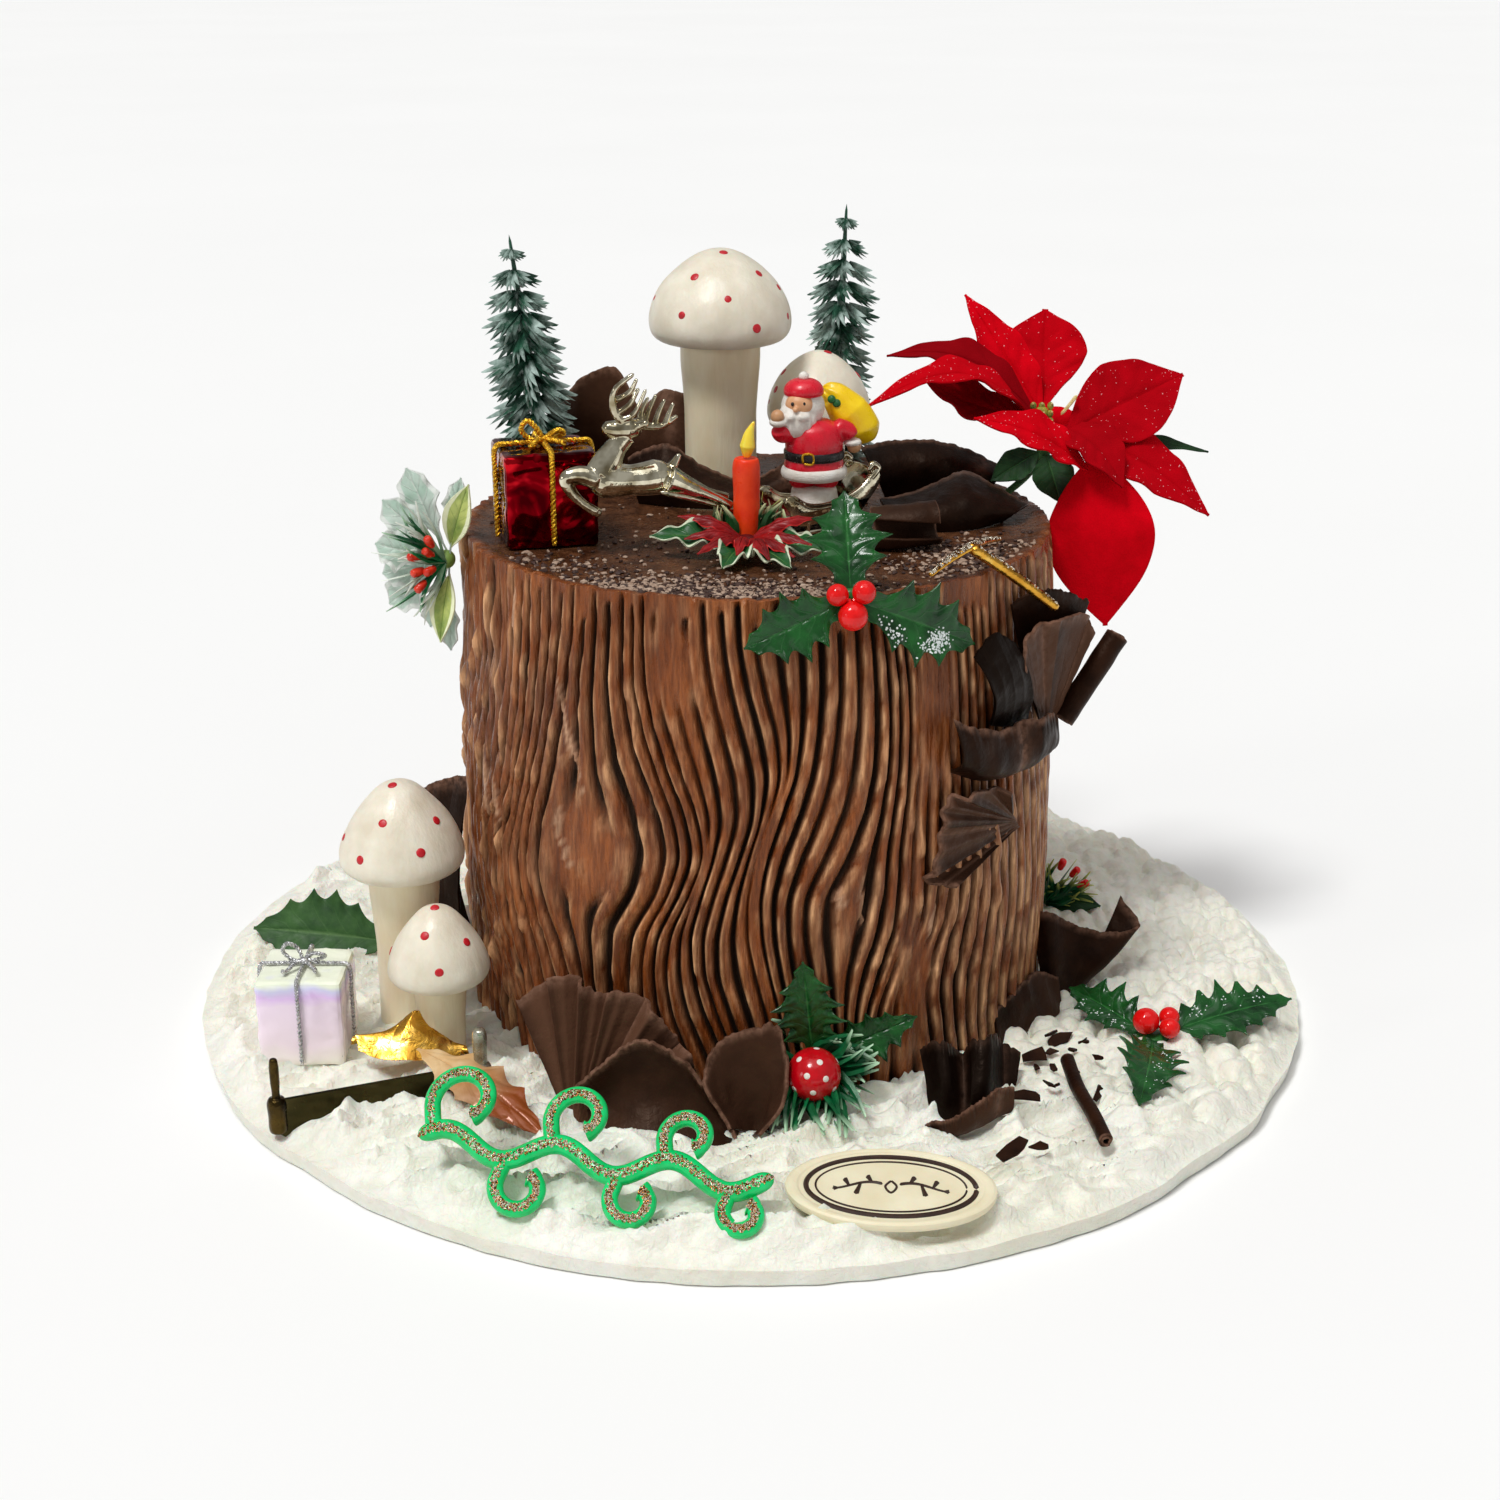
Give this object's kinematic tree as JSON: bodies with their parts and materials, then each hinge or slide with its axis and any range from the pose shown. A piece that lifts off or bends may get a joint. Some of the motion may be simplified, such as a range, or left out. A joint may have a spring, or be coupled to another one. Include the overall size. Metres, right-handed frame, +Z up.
{
  "type": "tree stump cake",
  "caption": "Round chocolate cake combed like a tree stump in a ring of whipped cream, dressed with mushrooms, firs, gifts, a sleigh, holly, a poinsettia and folded chocolate.",
  "frame": {"origin": "middle of the cream ring's flat underside, on the surface that the cake rests on", "axes": "+Z up, -Y towards the front with the oval plaque and the flourish, +X to the poinsettia's side"},
  "size_m": [0.353, 0.353, 0.2426],
  "materials": {
    "ganache": "glossy satin chocolate ganache, combed",
    "cream": "soft satin whipped cream",
    "cap": "satin off-white icing with small red painted dots",
    "stem": "satin ivory icing with faint upright strokes",
    "frosted_fir": "dark green moulding with pale frosted tips",
    "red_foil": "creased shiny dark red foil",
    "gold_cord": "twisted gold cord",
    "pearl_foil": "iridescent pearl foil",
    "silver_cord": "twisted silver cord",
    "pale_gold": "mirror bright pale gold plating",
    "painted_figure": "painted moulding, red coat with white trim",
    "sack": "glossy yellow paint",
    "candle": "satin orange red",
    "flame": "glossy yellow",
    "red_leaf": "satin red",
    "green_leaf": "glossy dark green",
    "berry": "glossy bright red",
    "velvet": "red velvet with fine glitter",
    "flower_centre": "matte yellow green",
    "tinsel_green": "satin green with frosted tips",
    "gold_foil": "polished gold",
    "amber_foil": "polished amber",
    "dark_mirror": "dark olive gold mirror",
    "green_glitter": "translucent bright green with gold glitter on top",
    "ivory": "satin white chocolate",
    "chocolate": "satin dark chocolate with paler ragged edges"
  },
  "bodies": {
    "root": {"stump": "ganache", "cream_ring": "cream", "mushroom_stem_tall": "stem", "mushroom_cap_tall": "cap", "mushroom_stem_rear": "stem", "mushroom_cap_rear": "cap", "mushroom_stem_left": "stem", "mushroom_cap_left": "cap", "mushroom_stem_small": "stem", "mushroom_cap_small": "cap", "fir_left": "frosted_fir", "fir_right": "frosted_fir", "gift_red": "red_foil", "gift_cord_red": "gold_cord", "gift_pearl": "pearl_foil", "gift_cord_pearl": "silver_cord", "reindeer": "pale_gold", "sleigh": "pale_gold", "figurine": "painted_figure", "sack": "sack", "candle": "candle", "candle_flame": "flame", "candle_red_leaves": "red_leaf", "candle_green_leaves": "green_leaf", "holly_front_leaves": "green_leaf", "holly_front_berries": "berry", "holly_right_leaves": "green_leaf", "holly_right_berries": "berry", "holly_left_leaf": "green_leaf", "dotted_ball": "berry", "ball_pick_greens": "tinsel_green", "poinsettia_bracts": "velvet", "poinsettia_leaves": "green_leaf", "poinsettia_centre": "flower_centre", "spray_left": "tinsel_green", "spray_rear": "tinsel_green", "saw": "dark_mirror", "gold_leaf": "gold_foil", "amber_leaf": "amber_foil", "glitter_flourish": "green_glitter", "oval_plaque": "ivory", "gilded_pick": "gold_foil", "chocolate_fan_front": "chocolate", "chocolate_scoop_front": "chocolate", "chocolate_cup_front": "chocolate", "chocolate_cluster_right": "chocolate", "chocolate_curl_right": "chocolate", "chocolate_cone_right": "chocolate", "chocolate_strip_right": "chocolate", "chocolate_fan_side_upper": "chocolate", "chocolate_plate_side": "chocolate", "chocolate_ruffle_side": "chocolate", "chocolate_fan_side_lower": "chocolate", "chocolate_roll_side": "chocolate", "chocolate_ruffle_top_left": "chocolate", "chocolate_petals_top": "chocolate", "chocolate_ruffle_top_rear": "chocolate", "chocolate_ruffle_top_front": "chocolate", "chocolate_ruffle_rear_left": "chocolate", "chocolate_curl_stick": "chocolate"}
  },
  "joints": []
}
